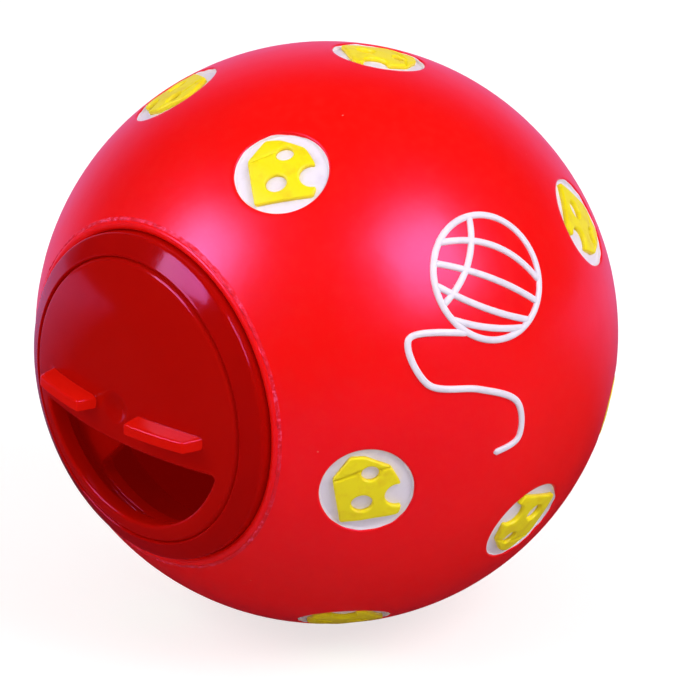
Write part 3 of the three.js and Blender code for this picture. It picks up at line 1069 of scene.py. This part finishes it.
def halfMoon(radius, edge, corner, grown, step, boss=0.0):
    # The window's outline below a straight edge, grown into the material round it. A boss at the
    # middle of the straight edge may bulge into it.
    middle = edge + corner
    across = math.sqrt((radius - corner) ** 2 - middle**2)
    end = math.atan2(-middle, across)
    edge, radius, corner = edge - grown, radius + grown, corner + grown
    line = []

    def arc(cx, cy, r, start, stop):
        steps = max(int(abs(stop - start) * r / step), 6)
        for t in np.linspace(start, stop, steps, endpoint=False):
            line.append((cx + r * math.cos(t), cy + r * math.sin(t)))

    def straight(x1, x2):
        for x in np.linspace(x1, x2, max(int(abs(x2 - x1) / step), 4), endpoint=False):
            line.append((x, -edge))

    if boss > edge:
        bulge = boss - grown
        foot = math.sqrt(bulge**2 - edge**2)
        turn = math.atan2(-edge, -foot)
        straight(-across, -foot)
        arc(0, 0, bulge, turn, -math.pi - turn)
        straight(foot, across)
    else:
        straight(-across, across)
    arc(across, -middle, corner, math.pi / 2, end)
    arc(0, 0, radius, end, -math.pi - end)
    arc(-across, -middle, corner, math.pi - end, math.pi / 2)
    return np.array(line)


def sheetFaces(outer, holesOf, heightOf, extra=(), keepOff=()):
    # One face of a plate: outer and holesOf are lists of loops, from the plate's side inwards. Loops in
    # extra stay as edges, and the evenly spread points stay out of keepOff.
    lines = [line for side in [outer] + holesOf for line in side] + list(extra)
    loops = numbered(lines)
    grid = hexPoints(dialRadius + 1, sheet["grid"])
    keep = inside(grid, outer[-1]) & (distanceTo(grid, outer[-1]) > sheet["margin"])
    for hole in holesOf:
        keep &= ~inside(grid, hole[-1]) & (distanceTo(grid, hole[-1]) > sheet["margin"])
    for line in keepOff:
        keep &= ~inside(grid, line) & (distanceTo(grid, line) > sheet["ribMargin"])
    laid, triangles, number = fillPlane(np.concatenate(lines + [grid[keep]]), loops)
    middles = laid[triangles].mean(axis=1)
    solid = inside(middles, outer[0])
    for hole in holesOf:
        solid &= ~inside(middles, hole[0])
    starts = np.cumsum([0] + [len(side) for side in [outer] + holesOf[:-1]])
    edges = [[number[i] for i in loops[start]] for start in starts]
    used, faces, edges = keepUsed(triangles[solid], edges)
    return laid[used], heightOf(laid[used]), faces, edges


def joinPlate(front, back):
    # A plate from its front and back faces; offset is what the back's point numbers gain
    flat = np.concatenate([front[0], back[0]])
    heights = np.concatenate([front[1], back[1]])
    offset = len(front[0])
    faces = list(front[2]) + [tuple(offset + i for i in face[::-1]) for face in back[2]]
    return flat, heights, faces, offset


def plateFace(depth, side):
    # The front or back face of the insert's half plate, side 1 or -1
    moon = pocketRadius - insert["plateLedge"]
    edge, corner, step = insert["plateEdge"], insert["plateCorner"], insert["windowStep"]
    boss = hubRadius + insert["bossRim"]
    windows = [halfMoon(moon, edge, corner, grown, step, boss) for grown in insert["plateRings"]]
    bores = [ring(boreRadius + grown, insert["boreSteps"]) for grown in insert["plateRings"]]
    rims = [ring(pocketRadius - away, insert["roundSteps"]) for away in (0, insert["plateSeam"])]

    def height(flat):
        near = np.minimum(distanceTo(flat, windows[0]), distanceTo(flat, bores[0]))
        eased = side * easedEdge(near, insert["plateRound"])
        return domeHeight(np.hypot(flat[:, 0], flat[:, 1]), depth) - eased

    return sheetFaces(rims, [windows, bores], height)


def ringProfile():
    # From the pocket's wall over the bezel, and back by the groove and the barb
    inner = insert["innerEdge"]
    flangeFront = sphereHeight(ball["radius"], lipRadius) - ball["flangeDepth"]
    flangeBack = flangeFront - ball["flangeThickness"]
    groove = ball["mouthRadius"] - ball["flangeStep"] - insert["fitGap"]
    grooveFront, grooveBack = flangeFront + insert["fitGap"], flangeBack - insert["fitGap"]
    barb = groove + insert["barbGrip"]
    ringBack = grooveBack - insert["barbFace"] - insert["barbTaper"]
    rise = insert["innerEdgeRise"]
    profile = [(pocketRadius, float(domeHeight(pocketRadius, plateFront)) + insert["wallFrom"])]
    for t in np.radians(insert["innerEdgeAngles"]):
        r = pocketRadius + inner * (1 - math.cos(t))
        top = sphereHeight(bezelSphere, pocketRadius + inner) + rise
        profile.append((r, top - inner * (1 - math.sin(t))))
    curve = insert["bezelShoulder"]
    centre = rimRadius - curve
    for r in np.linspace(pocketRadius + inner + rise, centre - 0.3, insert["bezelRings"]):
        profile.append((r, sphereHeight(bezelSphere, r)))
    shoulder = sphereHeight(bezelSphere - curve, centre)
    for t in np.linspace(math.atan2(shoulder, centre), 0, insert["shoulderRings"]):
        profile.append((centre + curve * math.cos(t), shoulder + curve * math.sin(t)))
    # The groove takes the ball's flange, and the barb holds it
    edge, fine, blunt = insert["chamfer"], insert["barbChamfer"], insert["backChamfer"]
    profile += [(rimRadius, grooveFront + edge), (rimRadius - edge, grooveFront)]
    profile += [(groove + edge, grooveFront), (groove, grooveFront - edge)]
    profile += [(groove, grooveBack + fine), (groove + fine, grooveBack), (barb - fine, grooveBack)]
    profile += [(barb, grooveBack - fine), (barb, grooveBack - insert["barbFace"])]
    profile += [(groove + fine, ringBack + blunt), (groove - fine, ringBack)]
    return profile + [(pocketRadius + blunt, ringBack), (pocketRadius, ringBack + blunt)]


def makeInsert():
    steps = insert["roundSteps"]
    front, back = plateFace(plateFront, 1), plateFace(plateBack, -1)
    flat, heights, faces, offset = joinPlate(front, back)
    for a, b in zip(front[3][1:], back[3][1:]):
        faces += stripFaces([offset + i for i in b], a)
    profile = ringProfile()
    rings = rowNumbers(len(flat), len(profile), steps)
    faces += ladder([front[3][0]] + rings + [[offset + i for i in back[3][0]]])
    points = np.concatenate([alongMouth(flat, heights), turnedRows(profile, steps)])
    points = turnedAbout(points, insert["turn"])
    return makePiece("insert_moulding", points, faces, [insertPlastic], "ball")


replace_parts(makeInsert(), "insert_ring")
print("insert made")


def roundedBox(middle, drop, halfLong, halfWide, corner, grown):
    # A rounded rectangle's outline, grown outwards
    halfLong, halfWide, corner = halfLong + grown, halfWide + grown, corner + grown
    line = []
    for cx, cy, start in ((1, 1, 0), (-1, 1, 90), (-1, -1, 180), (1, -1, 270)):
        for t in np.radians(np.linspace(start, start + 90, 7)):
            x = middle + cx * (halfLong - corner) + corner * math.cos(t)
            line.append((x, cy * (halfWide - corner) + corner * math.sin(t) - drop))
    return evenly(np.array(line), rib["step"], True)


def boxDistance(flat, middle, drop, halfLong, halfWide, corner):
    # How far each point lies outside a rounded rectangle
    x = np.abs(flat[:, 0] - middle) - (halfLong - corner)
    y = np.abs(flat[:, 1] + drop) - (halfWide - corner)
    outside = np.hypot(np.maximum(x, 0), np.maximum(y, 0))
    return outside + np.minimum(np.maximum(x, y), 0) - corner


def makeDial():
    steps = dial["roundSteps"]
    windowRadius = dialRadius - dial["border"]
    halfLong = (rib["far"] - rib["near"]) / 2
    ribMiddle = (rib["far"] + rib["near"]) / 2
    size = (halfLong, rib["width"] / 2, rib["corner"])
    away, high = zip(*rib["section"][::-1])
    windows = [
        halfMoon(windowRadius, dial["windowEdge"], dial["windowCorner"], grown, dial["windowStep"])
        for grown in dial["edgeRings"]
    ]
    rims = [ring(dialRadius - grown, steps) for grown in dial["edgeRings"]]
    dimples = [ring(radius, dial["dimpleSteps"]) for radius in dial["dimpleRings"]]
    ribs, aroundRibs = [], []
    for side in (-1, 1):
        ribs += [roundedBox(side * ribMiddle, rib["drop"], *size, grown) for grown in away]
        aroundRibs.append(ribs[-1])

    def edgeFall(flat, rounding):
        near = np.minimum(distanceTo(flat, windows[0]), distanceTo(flat, rims[0]))
        return easedEdge(near, rounding)

    def topHeight(flat):
        centreAway = np.hypot(flat[:, 0], flat[:, 1])
        hollow = np.clip(1 - (centreAway / dial["dimpleRadius"]) ** 2, 0, 1) ** 2
        return domeHeight(centreAway) - edgeFall(flat, dial["edgeRound"]) - dial["dimpleDepth"] * hollow

    def underHeight(flat):
        under = domeHeight(np.hypot(flat[:, 0], flat[:, 1]), dial["thickness"])
        return under + edgeFall(flat, dial["underRound"])

    front = sheetFaces(rims, [windows], topHeight, ribs + dimples, aroundRibs + [dimples[-1]])
    back = sheetFaces(rims[:3], [windows[:3]], underHeight)
    flat, heights, faces, offset = joinPlate(front, back)
    for a, b in zip(front[3], back[3]):
        faces += stripFaces([offset + i for i in b], a)
    # The ribs rise out of the front face and get shorter towards their crests
    raised = np.zeros(len(flat), bool)
    for side in (-1, 1):
        top = flat[:offset]
        outside = boxDistance(top, side * ribMiddle, rib["drop"], *size)
        lift = np.interp(outside, away, high, right=0.0)
        heights[:offset] += lift
        shift = (top[:, 0] - side * ribMiddle) * rib["slant"] / halfLong * lift / rib["height"]
        flat[:offset, 0] -= np.where(lift > 0, shift, 0)
        raised[:offset] |= lift > rib["paintedGlowFrom"]
    points = turnedAbout(alongMouth(flat, heights), dial["turn"])
    # Faces on the ribs take the copy of the plastic with the strong painted glow
    looks = [1 if all(raised[i] for i in face) else 0 for face in faces]
    plastics = [dialPlastic, ribPaintedGlowPlastic]
    return makePiece("dial_moulding", points, faces, plastics, "dial", looks)


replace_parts(makeDial(), "turning_dial")


def makeStud():
    # Hub that seats on the plate, and the slit stud that snaps through it
    steps, c = stud["roundSteps"], insert["chamfer"]
    seat = float(domeHeight(hubRadius, plateFront)) + stud["gap"]
    behind = float(domeHeight(boreRadius, plateBack)) - stud["gap"]
    landEnd = behind - stud["land"]
    snap = stud["radius"] + stud["catch"]
    top = float(domeHeight(0, dial["thickness"])) + stud["root"]
    catch = behind - stud["catchEdge"]
    profile = [(hubRadius, top), (hubRadius, seat + c), (hubRadius - c, seat)]
    profile += [(stud["radius"], seat), (stud["radius"], behind), (snap - stud["catchEdge"], behind)]
    profile += [(snap, catch), (snap, landEnd), (snap - stud["tip"], landEnd - stud["taper"])]
    rings = rowNumbers(0, len(profile), steps)
    faces = ladder(rings) + [tuple(rings[0]), tuple(rings[-1][::-1])]
    points = turnedAbout(turnedRows(profile, steps), dial["turn"])
    piece = makePiece("dial_stud", points, faces, [dialPlastic], "dial")
    # The slit lets the stud spring
    corners = [
        (x * stud["slit"] / 2, -height, z * (snap + 1))
        for x in (-1, 1)
        for z in (-1, 1)
        for height in (landEnd - stud["taper"] - 1, seat - stud["slitFrom"])
    ]
    sides = [(0, 1, 3, 2), (4, 6, 7, 5), (0, 4, 5, 1), (2, 3, 7, 6), (0, 2, 6, 4), (1, 5, 7, 3)]
    slit = bpy.data.meshes.new("slit")
    slit.from_pydata(inScene(turnedAbout(np.array(corners), dial["turn"])), [], sides)
    cutter = addObject("slit", slit)
    cut = piece.modifiers.new("slit", "BOOLEAN")
    cut.object, cut.operation, cut.solver = cutter, "DIFFERENCE", "EXACT"
    bpy.context.view_layer.update()
    done = bpy.data.meshes.new_from_object(piece.evaluated_get(bpy.context.evaluated_depsgraph_get()))
    piece.modifiers.remove(cut)
    piece.data = done
    bpy.data.objects.remove(cutter)
    print(f"stud slit: {len(done.polygons)} faces")


makeStud()
print("dial made")


# Floor, light and camera

view = {
    "around": 46.0,
    "above": 21.7,
    "distance": 20.0,  # in ball radii
    # the ball's outline in the photograph, in its pixels
    "outlineMiddle": (326.8, 332.4),
    "outlineRadius": 291.5,
    "frame": 700,
}

studio = {
    "floorSize": 2.0,
    "floorGrey": 0.45,
    "floorGlow": 0.7,
    "floorBounce": 0.5,
    "floorMirrored": (0.03, 0.75),  # near the ball and behind it
    "floorRamp": (0.03, 0.12),  # metres behind the ball over which it runs from one to the other
    "room": 0.04,
    "paper": 0.85,
    "paperEdge": (-0.5, -0.95),  # cosines of the angle to the camera between room and paper
    "paperTint": "E8B3FF",
    # direction in the camera's own frame (right, up, towards), distance and size in metres, watts of
    # light on the matt colour, and watts that the gloss mirrors
    "lamps": [
        ("keyPanel", (-0.73, 0.44, 0.53), 0.7, 0.32, 1.4, 4.3),
        ("frontPanel", (0.6, 0.46, 0.65), 0.9, 0.46, 4.1, 7.3),
    ],
    "fill": 0.54,
    "fillDistance": 1.0,
    "fillSize": 2.0,
    "fillSides": [(0, 0, 1), (1, 0, 0), (-1, 0, 0), (0, 1, 0), (0, -1, 0)],
}

a, e = math.radians(view["around"]), math.radians(view["above"])
cameraRight = Vector((math.cos(a), math.sin(a), 0))
cameraBack = Vector((math.sin(a) * math.cos(e), -math.cos(a) * math.cos(e), math.sin(e)))
cameraUp = cameraBack.cross(cameraRight)
centre = Vector((0, 0, ball["radius"] / 1000))


def makeFloor():
    half = studio["floorSize"] / 2
    mesh = bpy.data.meshes.new("paper_floor")
    corners = [(-half, -half, 0), (half, -half, 0), (half, half, 0), (-half, half, 0)]
    mesh.from_pydata(corners, [], [(0, 1, 2, 3)])
    material = bpy.data.materials.new("studioPaper")
    material.use_nodes = True
    material.cycles.emission_sampling = "NONE"
    tree = material.node_tree
    tree.nodes.remove(tree.nodes["Principled BSDF"])
    # The camera sees white paper, which still takes the ball's shadow
    paper = addNode(tree, "BsdfDiffuse", {"Color": [studio["floorGrey"]] * 3 + [1.0]})
    white = addNode(tree, "Emission", {"Strength": studio["floorGlow"]})
    both = addNode(tree, "AddShader", {0: paper, 1: white})
    # In the ball's gloss the floor is dark where it is near, and runs into the white paper behind
    place = addNode(tree, "TexCoord", {}, "Object")
    away = Vector((-cameraBack[0], -cameraBack[1], 0)).normalized()
    behind = addNode(tree, "VectorMath", {0: place, 1: away}, "Value", operation="DOT_PRODUCT")
    limits = zip(rangeInputs, studio["floorRamp"] + studio["floorMirrored"])
    glow = addNode(tree, "MapRange", {"Value": behind, **dict(limits)})
    mirrored = addNode(tree, "Emission", {"Color": studio["paperTint"], "Strength": glow})
    # Other rays find a plain pale floor
    bounce = addNode(tree, "BsdfDiffuse", {"Color": [studio["floorBounce"]] * 3 + [1.0]})
    isGlossy = addNode(tree, "LightPath", {}, "Is Glossy Ray")
    isCamera = addNode(tree, "LightPath", {}, "Is Camera Ray")
    unseen = addNode(tree, "MixShader", {0: isGlossy, 1: bounce, 2: mirrored})
    surface = addNode(tree, "MixShader", {0: isCamera, 1: unseen, 2: both})
    setInputs(tree.nodes["Material Output"], {"Surface": surface})
    mesh.materials.append(material)
    floor = addObject("paper_floor", mesh)


def makeWorld():
    # White paper hangs behind the ball. The room on the camera's side is dark, so only the ball's
    # rim reflects white.
    world = bpy.data.worlds.new("studio")
    bpy.context.scene.world = world
    world.use_nodes = True
    world.cycles.sampling_method = "NONE"
    tree = world.node_tree
    place = addNode(tree, "TexCoord", {}, "Generated")
    towards = addNode(tree, "VectorMath", {0: place, 1: cameraBack}, "Value", operation="DOT_PRODUCT")
    limits = zip(rangeInputs, studio["paperEdge"] + (studio["room"], studio["paper"]))
    paper = addNode(tree, "MapRange", {"Value": towards, **dict(limits)})
    isGlossy = addNode(tree, "LightPath", {}, "Is Glossy Ray")
    isCamera = addNode(tree, "LightPath", {}, "Is Camera Ray")
    # Glossy rays find the paper, the camera finds plain white, and the rest is dark
    mirrored = addNode(tree, "Mix", {0: isGlossy, 2: 0.0, 3: paper})
    strength = addNode(tree, "Mix", {0: isCamera, 2: mirrored, 3: 1.0})
    colours = {0: isGlossy, 6: "FFFFFF", 7: studio["paperTint"]}
    tint = addNode(tree, "Mix", colours, 2, data_type="RGBA")
    setInputs(tree.nodes["Background"], {"Color": tint, "Strength": strength})


def hangLamp(name, towards, distance, size, watts, mirrored):
    # Each panel either lights the matt colour or shows in the gloss, so that no veil lies on the red
    lamp = bpy.data.lights.new(name, "AREA")
    lamp.energy, lamp.size = watts, size
    lamp.cycles.use_multiple_importance_sampling = mirrored
    holder = addObject(name, lamp)
    holder.location = centre + towards * distance
    holder.rotation_mode = "QUATERNION"
    holder.rotation_quaternion = towards.to_track_quat("Z", "Y")
    holder.visible_diffuse, holder.visible_glossy, holder.visible_camera = not mirrored, mirrored, False


def makeLamps():
    for name, direction, distance, size, watts, mirrored in studio["lamps"]:
        towards = cameraRight * direction[0] + cameraUp * direction[1] + cameraBack * direction[2]
        hangLamp(name + "Soft", towards.normalized(), distance, size, watts, False)
        hangLamp(name + "Mirrored", towards.normalized(), distance, size, mirrored, True)
    # Five wide panels box the ball in and light it evenly
    size = studio["fillSize"]
    for side, towards in enumerate(studio["fillSides"]):
        watts = studio["fill"] * math.pi * size**2
        hangLamp(f"fillPanel{side}", Vector(towards), studio["fillDistance"], size, watts, False)


def makeCamera():
    lens = bpy.data.cameras.new("view")
    frameSize, middle = view["frame"], view["outlineMiddle"]
    pixels = view["outlineRadius"] * math.sqrt(view["distance"] ** 2 - 1)
    lens.sensor_width = 36
    lens.lens = pixels / frameSize * lens.sensor_width
    lens.shift_x = (frameSize / 2 - middle[0]) / frameSize
    lens.shift_y = (middle[1] - frameSize / 2) / frameSize
    lens.clip_start, lens.clip_end = 0.01, 20
    holder = addObject("view", lens)
    stand = centre + cameraBack * (view["distance"] * ball["radius"] / 1000)
    rows = [list(row) for row in zip(cameraRight, cameraUp, cameraBack, stand)]
    holder.matrix_world = Matrix(rows + [[0, 0, 0, 1]])
    bpy.context.scene.camera = holder


makeFloor()
makeWorld()
makeLamps()
makeCamera()
bpy.context.scene.view_settings.view_transform = "Standard"
print("studio made")
